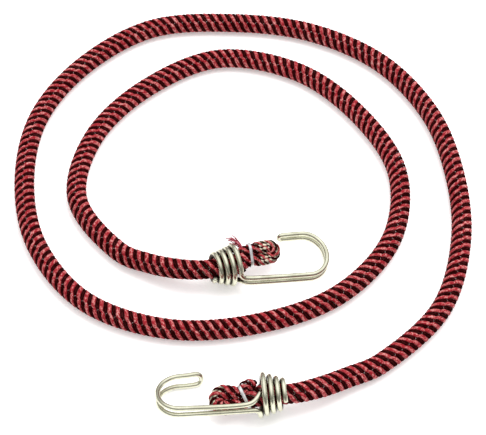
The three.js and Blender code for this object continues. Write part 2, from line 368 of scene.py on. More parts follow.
def sweep_tree(section: Section, rounding: float = 0.3) -> Tree:
    """Builds the tree that sweeps a section along every line of a wire mesh.

    Args:
        section: A round bar, or a band whose thickness faces the line's sides.
        rounding: The radius of the band's edges, as a share of its thickness.

    Returns:
        The tree, with the inputs Thickness, Width, Detail and Material.
    """
    maker = TreeMaker(f"swept {section.value}")
    thickness, width = maker.wanted("Float", "Thickness", "Width")
    detail, = maker.wanted("Int", "Detail")
    if section is Section.ROUND:
        profile = maker.oval(detail, radius=0.5, thickness=thickness, width=width)
    else:
        box = maker.node("GeometryNodeCurvePrimitiveQuadrilateral", {"Width": thickness, "Height": width})
        corners = {"Curve": box, "Count": detail, "Radius": thickness * rounding}
        profile = maker.node("GeometryNodeFilletCurve", corners, mode="POLY")
    side, size = maker.named("side", "FLOAT_VECTOR"), maker.named("size", "FLOAT")
    return maker.finished(maker.lines, side, profile, size)


def braid_tree(columns: float = 4.0, patches: float = 3.1) -> Tree:
    """Builds the tree that winds flat yarns round a cord's centreline.

    The cord's line has its radius in size, the way of the first column in side, and how far the braid is
    opened in open. A yarn lies at its own depth, and at each column it moves to another depth and runs more
    steeply along the cord. Where the braid is open, the yarns are narrower and less even.

    Args:
        columns: How many columns there are round the cord.
        patches: How often a yarn changes its width in one turn.

    Returns:
        The tree. Lead is the rise of one turn, Start and Yarn Step are turns, depths count half thicknesses.
    """
    maker = TreeMaker("braid yarns")
    yarns, points, sides = maker.wanted("Int", "Yarns", "Points", "Sides")
    begin, pace, lead, hand = maker.wanted("Float", "Begin", "Pace", "Lead", "Hand")
    start, step, spacing = maker.wanted("Float", "Start", "Yarn Step", "Yarn Spacing")
    fill, flatness, fullness, unevenness = maker.wanted("Float", "Fill", "Flatness", "Fullness", "Unevenness")
    depth, column_depth, column_reach = maker.wanted("Float", "Depth", "Column Depth", "Column Reach")
    column_pull, column_squeeze = maker.wanted("Float", "Column Pull", "Column Squeeze")
    open_unevenness, open_gap = maker.wanted("Float", "Open Unevenness", "Open Gap")

    blank = maker.node("GeometryNodeCurvePrimitiveLine", {"End": (0.0, 0.0, 1.0)})
    blank = maker.node("GeometryNodeResampleCurve", {"Curve": blank, "Count": points}, mode="COUNT")
    line = maker.node("GeometryNodeDuplicateElements", {"Geometry": blank, "Amount": yarns}, domain="SPLINE")
    place = maker.parameter("Index") * pace + begin
    side = maker.sampled("side", "FLOAT_VECTOR", place)
    radius = maker.sampled("size", "FLOAT", place)
    opened = maker.sampled("open", "FLOAT", place)

    travelled = place / lead
    placed = line.beside("Duplicate Index") * step + start
    turns = travelled * hand + placed
    from_column = maker.math("FRACT", turns * columns + 0.5) - 0.5
    jump = maker.ramp(from_column, (column_reach * -1.0, column_reach), (-0.5, 0.5), "SMOOTHSTEP")
    angle = (turns + (from_column - jump) * column_pull * (1 / columns)) * FULL_TURN
    away = maker.math("ABSOLUTE", from_column)
    pulse = maker.ramp(away, (0.0, column_reach), (1.0, 0.0), "SMOOTHSTEP")

    steepness = lead / (radius * FULL_TURN)
    slant = maker.math("POWER", steepness * steepness + 1.0, -0.5)
    half_spacing = spacing * 0.5 * slant
    spot = maker.node("ShaderNodeCombineXYZ", {"X": travelled * patches, "Y": placed})
    uneven = (maker.noise(spot, scale=2.0, detail=2.0) - 0.5) * unevenness
    varied = uneven * (opened * open_unevenness + 1.0) + 1.0 - opened * open_gap
    half_width = half_spacing * fill * varied * (1.0 - pulse * column_squeeze)
    sunk = ((column_depth - depth) * pulse + depth + uneven) * flatness * half_spacing
    middle = radius + fullness - sunk

    across = maker.vector("CROSS_PRODUCT", side.beside("Tangent"), Vector_001=side)
    out = maker.vector("SCALE", side, Scale=maker.math("COSINE", angle))
    turned = maker.vector("SCALE", across, Scale=maker.math("SINE", angle))
    way = maker.vector("ADD", out, Vector_001=turned)
    offset = maker.vector("SCALE", way, Scale=middle)
    position = maker.vector("ADD", side.beside("Position"), Vector_001=offset)
    line = maker.stored(line, "half_width", half_width)
    line = maker.node("GeometryNodeSetPosition", {"Geometry": line, "Position": position})
    section = maker.oval(sides, radius=1.0, thickness=flatness, width=1.0)
    return maker.finished(line, way, section, maker.named("half_width", "FLOAT"))


def added(name: str, data: bpy.types.ID) -> Piece:
    """Links a new object to the scene.

    Args:
        name: The object's name.
        data: Its mesh, light or camera.

    Returns:
        The object.
    """
    made = bpy.data.objects.new(name, data)
    bpy.context.scene.collection.objects.link(made)
    return made


def line_mesh(name: str, lines: list[list[Station]]) -> Piece:
    """Makes a wire mesh of lines, with the attributes size and side on its points.

    Args:
        name: The object's name.
        lines: The stations of each line, in millimetres.

    Returns:
        The object.
    """
    mesh = bpy.data.meshes.new(name)
    stations = [station for line in lines for station in line]
    edges = []
    begin = 0
    for line in lines:
        edges += [(begin + i, begin + i + 1) for i in range(len(line) - 1)]
        begin += len(line)
    mesh.from_pydata([station.point * MM for station in stations], edges, [])
    sizes = mesh.attributes.new("size", "FLOAT", "POINT")
    sizes.data.foreach_set("value", [station.size * MM for station in stations])
    sides = mesh.attributes.new("side", "FLOAT_VECTOR", "POINT")
    sides.data.foreach_set("vector", [part for station in stations for part in station.side])
    return added(name, mesh)


def grown(name: str, source: Piece, tree: Tree, **inputs: float | bpy.types.Material) -> Piece:
    """Runs a tree on an object and keeps its result as a plain mesh.

    Args:
        name: The new piece's name.
        source: The object that the tree starts from, which is left as it was.
        tree: The tree.
        inputs: The tree's inputs by name, with underscores for spaces.

    Returns:
        The new piece.
    """
    identifiers = {item.name: item.identifier for item in tree.interface.items_tree if item.in_out == "INPUT"}
    modifier = source.modifiers.new("shape", "NODES")
    modifier.node_group = tree
    for label, value in inputs.items():
        modifier[identifiers[label.replace("_", " ")]] = value
    depsgraph = bpy.context.evaluated_depsgraph_get()
    evaluated = source.evaluated_get(depsgraph)
    mesh = bpy.data.meshes.new_from_object(evaluated, preserve_all_data_layers=True, depsgraph=depsgraph)
    source.modifiers.remove(modifier)
    mesh.name = name
    return added(name, mesh)


def discard(source: Piece) -> None:
    """Removes a wire mesh that only started a piece.

    Args:
        source: The wire mesh.
    """
    mesh = source.data
    bpy.data.objects.remove(source)
    bpy.data.meshes.remove(mesh)


def settled(piece: Piece, body: Body, slot: Slot, *nodes: str) -> Piece:
    """Puts a piece on its body, hides the solids it stands for, and reports it.

    Args:
        piece: The piece.
        body: The body it rides on.
        slot: The material slot of its finish; not used.
        nodes: The nodes it replaces.

    Returns:
        The piece.
    """
    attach(piece, body.value)
    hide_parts(*nodes)
    LOG.info("%s: %d faces on %s", piece.name, len(piece.data.polygons), body.value)
    return piece


class MaterialMaker(NodeMaker):
    """Builds one node material round a Principled shader."""

    def __init__(self, name: str, **fixed: Value) -> None:
        """Starts a material.

        Args:
            name: The material's name.
            fixed: Values set on the shader's own sockets, with underscores for spaces.
        """
        self.material = bpy.data.materials.new(name)
        self.material.use_nodes = True
        super().__init__(self.material.node_tree)
        for label, value in fixed.items():
            self.finish(label.replace("_", " "), value)

    def finish(self, name: str, value: Value) -> None:
        """Links or sets an input of the shader."""
        self.give(value, self.tree.nodes["Principled BSDF"].inputs[name])

    def attribute(self, name: str) -> Link:
        """Reads a number that is kept on the mesh."""
        return self.node("ShaderNodeAttribute", {}, attribute_name=name).beside("Fac")

    def streaks(self, along: float, around: float, detail: float, twist: float = 0.0) -> Link:
        """Makes noise drawn out along a swept piece.

        Args:
            along: How many times it changes in a metre of length.
            around: How many times it changes round the section.
            detail: The noise's detail.
            twist: Turns of the streaks round the section in a metre.

        Returns:
            The noise.
        """
        place = self.attribute("along")
        turned = self.attribute("around") + place * twist
        spot = self.node("ShaderNodeCombineXYZ", {"X": place * along, "Y": turned * around})
        return self.noise(spot, scale=1.0, detail=detail)

    def patches(self, scale: float, detail: float) -> Link:
        """Makes cloudy noise on Object coordinates, with a number of patches in a metre."""
        return self.noise(self.node("ShaderNodeTexCoord", {}).beside("Object"), scale, detail)

    def bumped(self, height: Link, strength: float, distance: float) -> None:
        """Raises the surface by a height, in millimetres at full height."""
        inputs = {"Height": height, "Strength": strength, "Distance": distance * MM}
        self.finish("Normal", self.node("ShaderNodeBump", inputs))


@dataclass(frozen=True)
class YarnFinish:
    """Flat multifilament yarn: fine filaments along the yarn, soft sheen, a little uneven in tone.

    Each yarn's crest has a painted highlight and its sides have painted shade.
    """

    name: str
    deep: Triple
    full: Triple
    pale: Triple
    sheen: float = 0.04
    gloss: float = 0.2
    roughness: float = 0.7
    sheen_roughness: float = 0.45
    crest_share: float = 0.6

    def material(self) -> bpy.types.Material:
        """Makes the yarn's material.

        Returns:
            The material.
        """
        maker = MaterialMaker(
            self.name, Roughness=self.roughness, Sheen_Weight=self.sheen, Specular_IOR_Level=self.gloss,
            Sheen_Roughness=self.sheen_roughness,
        )
        blotches = maker.streaks(along=520.0, around=3.5, detail=2.0, twist=40.0)
        filaments = maker.streaks(along=1300.0, around=9.0, detail=2.0, twist=90.0)
        worn = maker.ramp(maker.patches(scale=130.0, detail=3.0), limits=(0.35, 0.65), results=(0.45, 1.0))
        shade = blotches * 0.5 + filaments * 0.5
        # Painted highlight on each yarn's crest and painted shade on its sides; the noise gives pale flecks
        # and uneven tone.
        off_crest = maker.math("ABSOLUTE", maker.attribute("around") - 0.5)
        crest = maker.ramp(off_crest, limits=(0.08, 0.26), results=(1.0, 0.0))
        body = crest * self.crest_share + maker.ramp(shade, limits=(0.42, 0.56), results=(0.0, 0.45))
        light = maker.ramp(shade, limits=(0.49, 0.57)) * worn * crest
        maker.finish("Base Color", maker.blended(light, maker.blended(body, self.deep, self.full), self.pale))
        maker.bumped(shade, strength=0.6, distance=0.15)
        return maker.material


@dataclass(frozen=True)
class RubberFinish:
    """Natural rubber thread, cream with a dusty surface."""

    name: str = "rubber_thread"
    clean: Triple = (0.80, 0.72, 0.56)
    dusty: Triple = (0.62, 0.52, 0.38)

    def material(self) -> bpy.types.Material:
        """Makes the rubber's material.

        Returns:
            The material.
        """
        maker = MaterialMaker(self.name, Roughness=0.7, Specular_IOR_Level=0.4)
        dust = maker.patches(scale=320.0, detail=4.0)
        share = maker.ramp(dust, limits=(0.35, 0.65))
        maker.finish("Base Color", maker.blended(share, self.clean, self.dusty))
        maker.bumped(dust, strength=0.3, distance=0.1)
        return maker.material


@dataclass(frozen=True)
class MetalFinish:
    """Bare metal with fine lines along it and cloudy patches, with painted shade and a rougher surface where
    the mesh has crevices.

    The lines are how often the streaks change in a metre and round the section, the cloud is a scale and a
    detail, and the relief is a strength and a distance.
    """

    name: str
    bright: Triple
    dull: Triple
    lines: Range
    cloud: Range
    cloud_limits: Range
    roughness: Range
    relief: Range
    painted_crevice_shade: Triple | None = None
    crevice_roughness: float = 0.3

    def material(self) -> bpy.types.Material:
        """Makes the metal's material.

        Returns:
            The material.
        """
        maker = MaterialMaker(self.name, Metallic=1.0)
        lines = maker.streaks(*self.lines, detail=3.0)
        cloud = maker.patches(*self.cloud)
        colour = maker.blended(maker.ramp(cloud, self.cloud_limits), self.bright, self.dull)
        roughness = maker.ramp(lines + cloud, limits=(0.7, 1.3), results=self.roughness)
        # Inward-facing wire in the coil gets painted shade, a darker colour between and inside the turns, and
        # more roughness.
        if self.painted_crevice_shade:
            crevice = maker.attribute("crevice")
            colour = maker.blended(crevice, colour, self.painted_crevice_shade)
            roughness = roughness + crevice * self.crevice_roughness
        maker.finish("Base Color", colour)
        maker.finish("Roughness", roughness)
        maker.bumped(lines, *self.relief)
        return maker.material


@dataclass(frozen=True)
class PaperFinish:
    """Plain white paper for the floor, with a faint tooth, lit a little from below."""

    name: str = "white_paper"
    colour: Triple = (0.93, 0.93, 0.93)
    glow: float = 0.4

    def material(self) -> bpy.types.Material:
        """Makes the floor's material.

        Returns:
            The material.
        """
        maker = MaterialMaker(
            self.name, Base_Color=self.colour, Roughness=0.9, Specular_IOR_Level=0.2,
            Emission_Color=self.colour, Emission_Strength=self.glow,
        )
        maker.bumped(maker.patches(scale=900.0, detail=2.0), strength=0.03, distance=0.1)
        return maker.material


class Finish(Enum):
    """The finishes of the pieces. A yarn has a deep colour for the painted shade on its sides, a full colour,
    and a pale colour for the painted highlight on its crest and its pale flecks.
    """

    RED = YarnFinish("red_yarn", (0.15, 0.003, 0.008), (0.38, 0.012, 0.022), (0.72, 0.32, 0.30))
    PALE_RED = YarnFinish("pale_red_yarn", (0.10, 0.05, 0.05), (0.30, 0.20, 0.19), (0.60, 0.52, 0.50))
    BLACK = YarnFinish(
        "black_yarn", (0.010, 0.0006, 0.0006), (0.020, 0.0013, 0.0013), (0.05, 0.010, 0.010),
        sheen=0.0, gloss=0.0,
    )
    PINK = YarnFinish("pink_thread", (0.35, 0.03, 0.06), (0.58, 0.10, 0.15), (0.85, 0.55, 0.55), sheen=0.1)
    WHITE = YarnFinish("white_thread", (0.45, 0.40, 0.36), (0.66, 0.62, 0.58), (0.80, 0.78, 0.75), sheen=0.1)
    RUBBER = RubberFinish()
    # The wire's dark crevice colour is painted shade between and inside the coil's turns.
    WIRE = MetalFinish(
        "plated_wire", bright=(0.70, 0.70, 0.555), dull=(0.54, 0.53, 0.40), lines=(60.0, 24.0),
        cloud=(190.0, 4.0), cloud_limits=(0.35, 0.7), roughness=(0.14, 0.30), relief=(0.12, 0.05),
        painted_crevice_shade=(0.07, 0.058, 0.045),
    )
    BAND = MetalFinish(
        "aluminium_band", bright=(0.82, 0.82, 0.83), dull=(0.64, 0.64, 0.66), lines=(90.0, 40.0),
        cloud=(420.0, 3.0), cloud_limits=(0.4, 0.7), roughness=(0.28, 0.5), relief=(0.25, 0.06),
    )


class Workshop:
    """The materials of all pieces and the trees that sweep sections, made once."""

    def __init__(self) -> None:
        """Makes each finish's material and each section's tree."""
        self.materials = {finish: finish.value.material() for finish in Finish}
        self.trees = {section: sweep_tree(section) for section in Section}

    def swept(
        self, name: str, lines: list[list[Station]], finish: Finish, detail: int, thickness: float,
        width: float | None = None,
    ) -> Piece:
        """Sweeps a round bar or a flat band along lines.

        Args:
            name: The new piece's name.
            lines: The stations of each line, in millimetres.
            finish: Its finish.
            detail: The sides of a bar, or the points of each rounded edge of a band.
            thickness: The section's thickness where a station's size is 1.
            width: The width of a band, or None for a bar.

        Returns:
            The new piece.
        """
        source = line_mesh(f"{name}_lines", lines)
        made = grown(
            name, source, self.trees[Section.BAND if width else Section.ROUND], Thickness=thickness,
            Width=width or thickness, Detail=detail, Material=self.materials[finish],
        )
        discard(source)
        return made


@dataclass(frozen=True)
class WireSizes:
    """Sizes that both hooks share, in millimetres."""

    diameter: float = 2.25
    turns: int = 4
    turn_gap: float = 0.55
    clearance: float = 0.4
    flare: float = 0.85
    leg_spacing: float = 3.3
    leg_bend: float = 2.5
    bow_width: float = 23.0
    bow_depth: float = 9.5
    tuck_clearance: float = 0.65
    tuck_side: float = 4.0
    tuck_depth: float = 0.5
    grip_radius: float = 4.2
    grip_lead: float = 3.5

    @property
    def narrow(self) -> float:
        """Gives the radius of the wire's middle at the cone's narrow end."""
        return self.grip_radius + self.clearance + self.diameter / 2

    @property
    def wide(self) -> float:
        """Gives the radius of the wire's middle at the cone's rim."""
        return self.narrow + self.flare * self.turns

    @property
    def coil_angle(self) -> float:
        """Gives the angle that the coil winds through before it bends into the leg."""
        return FULL_TURN * self.turns - asin((self.leg_spacing / 2 + self.leg_bend) / self.wide)

    @property
    def coil_length(self) -> float:
        """Gives the length of the coil along its axis."""
        return (self.diameter + self.turn_gap) * self.coil_angle / FULL_TURN

    @property
    def lead(self) -> float:
        """Gives how far behind the rim the free run of the cord starts."""
        return self.coil_length + self.grip_lead


@dataclass(frozen=True)
class HookShape:
    """What one hook and the fold of cord in it have of their own, in millimetres and degrees."""

    letter: str
    body: Body
    shank: float
    splay: float
    arm: float
    nose_spread: float
    nose_flare: float
    heading: float
    pitch: float
    roll: float
    fold_diameter: float
    fold_start: float
    fold_shift: float
    fold_lean: float
    ring_tilt: float
    ring_slip: float
    tail_angle: float = 36.0


WIRE = WireSizes()
HOOK_A = HookShape(
    letter="a", body=Body.HOOK_A, shank=33.5, splay=2.0, arm=19.0, nose_spread=5.3, nose_flare=0.8,
    heading=181.5, pitch=-2.0, roll=156.5, fold_diameter=6.2, fold_start=15.2, fold_shift=-1.2,
    fold_lean=-3.0, ring_tilt=24.0, ring_slip=1.2,
)
HOOK_B = HookShape(
    letter="b", body=Body.HOOK_B, shank=32.0, splay=6.0, arm=20.0, nose_spread=3.1, nose_flare=-0.3,
    heading=16.0, pitch=-7.0, roll=-2.0, fold_diameter=5.2, fold_start=16.0, fold_shift=3.3,
    fold_lean=1.0, ring_tilt=0.0, ring_slip=0.0,
)


class HookFrame:
    """The frame of one hook: its rim, its axis, and the sides of its shank and of the cord's tail."""

    def __init__(self, shape: HookShape) -> None:
        """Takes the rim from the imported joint, and the directions from the shape.

        Args:
            shape: The hook's shape.
        """
        self.shape = shape
        joint = next(j for j in frame["joints"] if j["child"] == shape.body.value)
        self.rim = Vector(joint["pos_m"]) / MM
        heading, pitch, roll = (radians(a) for a in (shape.heading, shape.pitch, shape.roll))
        level = Vector((cos(heading), sin(heading), 0.0))
        self.forward = level * cos(pitch) + Vector((0.0, 0.0, sin(pitch)))
        right = Vector((sin(heading), -cos(heading), 0.0))
        self.shank = right * cos(roll) + right.cross(self.forward) * sin(roll)
        self.third = self.forward.cross(self.shank)
        raised = radians(shape.tail_angle)
        self.tail = flattened(Vector((0.0, cos(raised), sin(raised))), self.forward)

    def at(self, along: float, across: float = 0.0) -> Vector:
        """Gives the point so far along the axis and so far towards the tail."""
        return self.rim + self.forward * along + self.tail * across

    def placed(self, point: Vector) -> Vector:
        """Gives the place of a point of the hook's own axes."""
        return self.rim + self.forward * point.x + self.shank * point.y + self.third * point.z


@dataclass
class WireHook:
    """One hook bent from wire: a conical coil, two legs, a bow and a closed nose.

    The legs go from their own spacing to that of the nose over the parts of the bow and the arm. The cut
    rounds each end of the wire, by places past the end and the sizes there.
    """

    place: HookFrame
    coil_steps: int = 40
    bend_steps: int = 6
    bow_steps: int = 27
    nose_steps: int = 12
    bow_part: float = 9.0
    arm_part: float = 2.0
    step: float = 0.7
    sides: int = 20
    cut: tuple[Range, ...] = ((0.25, 0.72), (0.12, 0.93))
    crevice_rim: Range = (-1.5, 0.5)
    crevice_facing: Range = (-0.1, 0.36)

    def outline(self) -> list[tuple[Vector, float]]:
        """Draws shank, bow and arm in the plane of the hook.

        Returns:
            Points along and across the shank, each with the share of the way from leg to nose spread.
        """
        shape = self.place.shape
        drawn = [(Vector((2 * WIRE.leg_bend, 0.0)), 0.0)]
        for i in range(self.bow_steps + 1):
            angle = pi / 2 - pi * i / self.bow_steps
            across = WIRE.bow_width / 2 * (sin(angle) - 1)
            point = Vector((shape.shank + WIRE.bow_depth * cos(angle), across))
            drawn.append((point, self.bow_part * i / self.bow_steps))
        nose = shape.shank + WIRE.bow_depth - shape.arm + shape.nose_spread / 2
        for share in (0.5, 1.0):
            across = -WIRE.bow_width - shape.nose_flare * share ** 2
            point = Vector((mix(shape.shank, nose, share), across))
            drawn.append((point, self.bow_part + self.arm_part * share))
        turn = radians(shape.splay)
        cosine, sine = cos(turn), sin(turn)
        turned = [Vector((p.x * cosine - p.y * sine, p.x * sine + p.y * cosine)) for p, _ in drawn]
        whole = self.bow_part + self.arm_part
        return [(p, smooth(place, 0.0, whole)) for p, (_, place) in zip(turned, drawn)]

    def wire(self) -> list[Vector]:
        """Lays out the wire in the hook's own axes.

        Returns:
            The points from the cone's narrow end to the tucked end.
        """
        half_leg, nose_radius = WIRE.leg_spacing / 2, self.place.shape.nose_spread / 2
        path = []
        steps = WIRE.turns * self.coil_steps
        for i in range(steps + 1):
            share = i / steps
            angle = WIRE.coil_angle * share
            radius = mix(WIRE.narrow, WIRE.wide, share)
            along = WIRE.coil_length * (share - 1)
            path.append(Vector((along, radius * cos(angle), radius * sin(angle))))
        coil_end = path[-1]
        for i in range(1, self.bend_steps + 1):
            angle = pi / 2 * i / self.bend_steps
            left = 1 - sin(angle)
            along = WIRE.leg_bend * (1 - cos(angle))
            path.append(Vector((along, mix(WIRE.wide, coil_end.y, left), -half_leg - WIRE.leg_bend * left)))
        drawn = self.outline()
        near = [Vector((p.x, WIRE.wide + p.y, -mix(half_leg, nose_radius, share))) for p, share in drawn]
        far = [Vector((p.x, p.y, -p.z)) for p in reversed(near)]
        middle = Vector((near[-1].x, near[-1].y, 0.0))
        way = near[-1] - near[-2]
        way = Vector((way.x, way.y, 0.0)).normalized()
        nose = []
        for i in range(1, self.nose_steps):
            angle = pi * (i / self.nose_steps - 0.5)
            over = Vector((0.0, 0.0, nose_radius * sin(angle)))
            nose.append(middle + way * nose_radius * cos(angle) + over)
        tuck = WIRE.wide - WIRE.diameter - WIRE.tuck_clearance
        ends = [
            Vector((WIRE.leg_bend, WIRE.wide - WIRE.tuck_clearance, half_leg + WIRE.tuck_clearance)),
            Vector((-WIRE.tuck_depth, sqrt(tuck ** 2 - WIRE.tuck_side ** 2), WIRE.tuck_side)),
        ]
        return path + near + nose + far + ends

    def mark_crevices(self, mesh: bpy.types.Mesh) -> None:
        """Keeps on each point how far it faces away from the coil's outside, for painted shade and more
        roughness there.

        Args:
            mesh: The swept wire.
        """
        marks = mesh.attributes.new("crevice", "FLOAT", "POINT")
        for vertex, mark in zip(mesh.vertices, marks.data):
            place = vertex.co / MM - self.place.rim
            outward = flattened(place, self.place.forward).dot(vertex.normal)
            in_coil = smooth(-place.dot(self.place.forward), *self.crevice_rim)
            mark.value = in_coil * (1 - smooth(outward, *self.crevice_facing))

    def build(self, shop: Workshop) -> None:
        """Sweeps the wire and dresses it.

        Args:
            shop: The trees and the materials.
        """
        letter = self.place.shape.letter
        line = smooth_line([Knot(self.place.placed(p), 1.0) for p in self.wire()], self.step)
        caps = []
        for tip, inner in ((line[0].point, line[1].point), (line[-1].point, line[-2].point)):
            inward = (inner - tip).normalized()
            caps.append([Knot(tip - inward * past, size) for past, size in self.cut])
        stations = framed(caps[0] + line + caps[1][::-1], self.place.forward.orthogonal())
        made = shop.swept(f"hook_wire_{letter}", [stations], Finish.WIRE, self.sides, WIRE.diameter)
        self.mark_crevices(made.data)
        settled(made, self.place.shape.body, Slot.WIRE, f"hook_{letter}")


@dataclass
class CordEnd:
    """One end of the cord: it swells inside the cone, folds back on itself, and is clipped and cut off.

    Past the clip the tail swells again. Its points are places along and across the axis, and radii. Round
    the bend of the fold, whose place along the axis is opened, the braid is loose.
    """

    place: HookFrame
    tail: tuple[Triple, ...]
    opened: float
    spread: float
    strand_swell: float
    neck_lift: float
    mouth_radius: float
    mouth_full: float = 0.5
    mouth_start: float = -2.5
    mouth_end: float = 2.5
    mouth_taper: float = 1.5
    cone_bulge: float = 1.9
    cone_bulge_places: Triple = (-4.6, -2.2, -0.6)
    neck_start: float = -4.0
    neck_drop: float = 1.5
    neck_end: float = 5.9
    neck_overlap: float = 0.5
    neck_steps: int = 16
    clipped_radius: float = 2.3
    clipped_reach: float = 2.2
    fold_gap: float = 0.6
    fold_steps: int = 12
    press: float = 0.2
    bulge: float = 0.5
    bulge_reach: float = 1.3
    ring_place: float = 7.3
    loose_reach: Range = (2.5, 6.0)

    def looseness(self, point: Vector) -> float:
        """Gives how far the braid is opened at a point, from 0 to 1 at the bend of the fold."""
        bend = self.place.at(self.opened, self.middle(self.opened))
        return 1 - smooth((point - bend).length, *self.loose_reach)

    @property
    def clipped_place(self) -> float:
        """Gives how far each leg of the fold lies from the fold's middle in the solid."""
        return self.clipped_radius + self.fold_gap / 2

    def middle(self, along: float) -> float:
        """Gives how far the fold's middle stands off the axis."""
        shape = self.place.shape
        return shape.fold_shift + tan(radians(shape.fold_lean)) * (along - self.ring_place)

    def knots(self) -> list[Knot]:
        """Lays out the end from the cone's narrow side to the cut.

        Returns:
            The knots, with the cord's radius at each.
        """
        laid = []

        def add(along: float, across: float, radius: float) -> None:
            """Adds one knot."""
            laid.append(Knot(self.place.at(along, across), radius))

        pressed = self.clipped_radius + self.press
        place = self.clipped_place - self.press
        for i in range(self.neck_steps + 1):
            along = mix(self.neck_start, self.neck_end, i / self.neck_steps)
            across = (self.middle(self.neck_end) - place) * smooth(along, self.neck_drop, self.neck_end)
            across += self.neck_lift * hump(along, self.mouth_start, self.mouth_end, self.neck_end)
            filled = smooth(along, self.neck_start, self.mouth_full)
            swollen = mix(WIRE.grip_radius, self.mouth_radius, filled)
            swollen += self.cone_bulge * hump(along, *self.cone_bulge_places)
            taper = smooth(along, self.mouth_taper, self.neck_end + self.neck_overlap)
            add(along, across, mix(swollen, pressed, taper))
        shape = self.place.shape
        full = self.clipped_radius + self.bulge
        fold = (shape.fold_diameter + self.fold_gap) / 2 - self.press
        end = self.ring_place + self.clipped_reach
        past = end + self.bulge_reach
        add(end, self.middle(end) - place, pressed)
        add(past, self.middle(past) - place - self.bulge / 2, full)
        for i in range(self.fold_steps + 1):
            angle = pi * (i / self.fold_steps - 0.5)
            along = shape.fold_start + fold * cos(angle)
            add(along, self.middle(along) + fold * sin(angle), shape.fold_diameter / 2 + self.press)
        add(past, self.middle(past) + place + self.bulge / 2, full)
        add(end, self.middle(end) + place, pressed)
        for spot in self.tail:
            add(*spot)
        return laid


@dataclass
class ClipRing:
    """The open band that pinches both legs of a fold."""

    end: CordEnd
    width: float = 1.4
    thickness: float = 0.5
    gap: float = 0.25
    opening: float = 2.0
    arc_steps: int = 18
    edge_points: int = 2

    def path(self) -> tuple[list[Vector], Vector]:
        """Lays out the band's middle round both legs, open on its underside.

        Returns:
            The points, and the way that the band's width faces.
        """
        place = self.end.place
        tilt, lean = radians(place.shape.ring_tilt), radians(place.shape.fold_lean)
        normal = place.forward * cos(tilt) - place.tail * sin(tilt)
        along = flattened(place.tail, normal)
        under = normal.cross(along)
        if under.z > 0:
            under = -under
        slant = abs(tilt + lean)
        leg_place = self.end.clipped_place / cos(slant)
        reach = self.end.clipped_radius / cos(slant) + self.width / 2 * tan(slant)
        radius = reach + self.gap + self.thickness / 2
        middle = place.at(self.end.ring_place - place.shape.ring_slip, place.shape.fold_shift)
        spots = [(self.opening / 2, radius)]
        for sign in (1, -1):
            for i in range(self.arc_steps + 1):
                angle = sign * pi * (0.5 - i / self.arc_steps)
                spots.append((sign * (leg_place + radius * cos(angle)), radius * sin(angle)))
        spots.append((-self.opening / 2, radius))
        return [middle + along * a + under * b for a, b in spots], normal

    def build(self, shop: Workshop) -> None:
        """Sweeps the band and dresses it.

        Args:
            shop: The trees and the materials.
        """
        letter = self.end.place.shape.letter
        points, normal = self.path()
        ways = tangents(points)
        line = [Station(p, 1.0, way.cross(normal).normalized()) for p, way in zip(points, ways)]
        name = f"clip_band_{letter}"
        made = shop.swept(name, [line], Finish.BAND, self.edge_points, self.thickness, self.width)
        settled(made, Body.CORD, Slot.RING, f"clip_ring_{letter}")


@dataclass(frozen=True)
class YarnLayer:
    """Yarns of one colour that wind one way round the cord."""

    name: str
    finish: Finish
    hand: Hand
    fill: float
    start: float
    depth: float
    column_depth: float
    turn_points: int = 44
    sides: int = 8


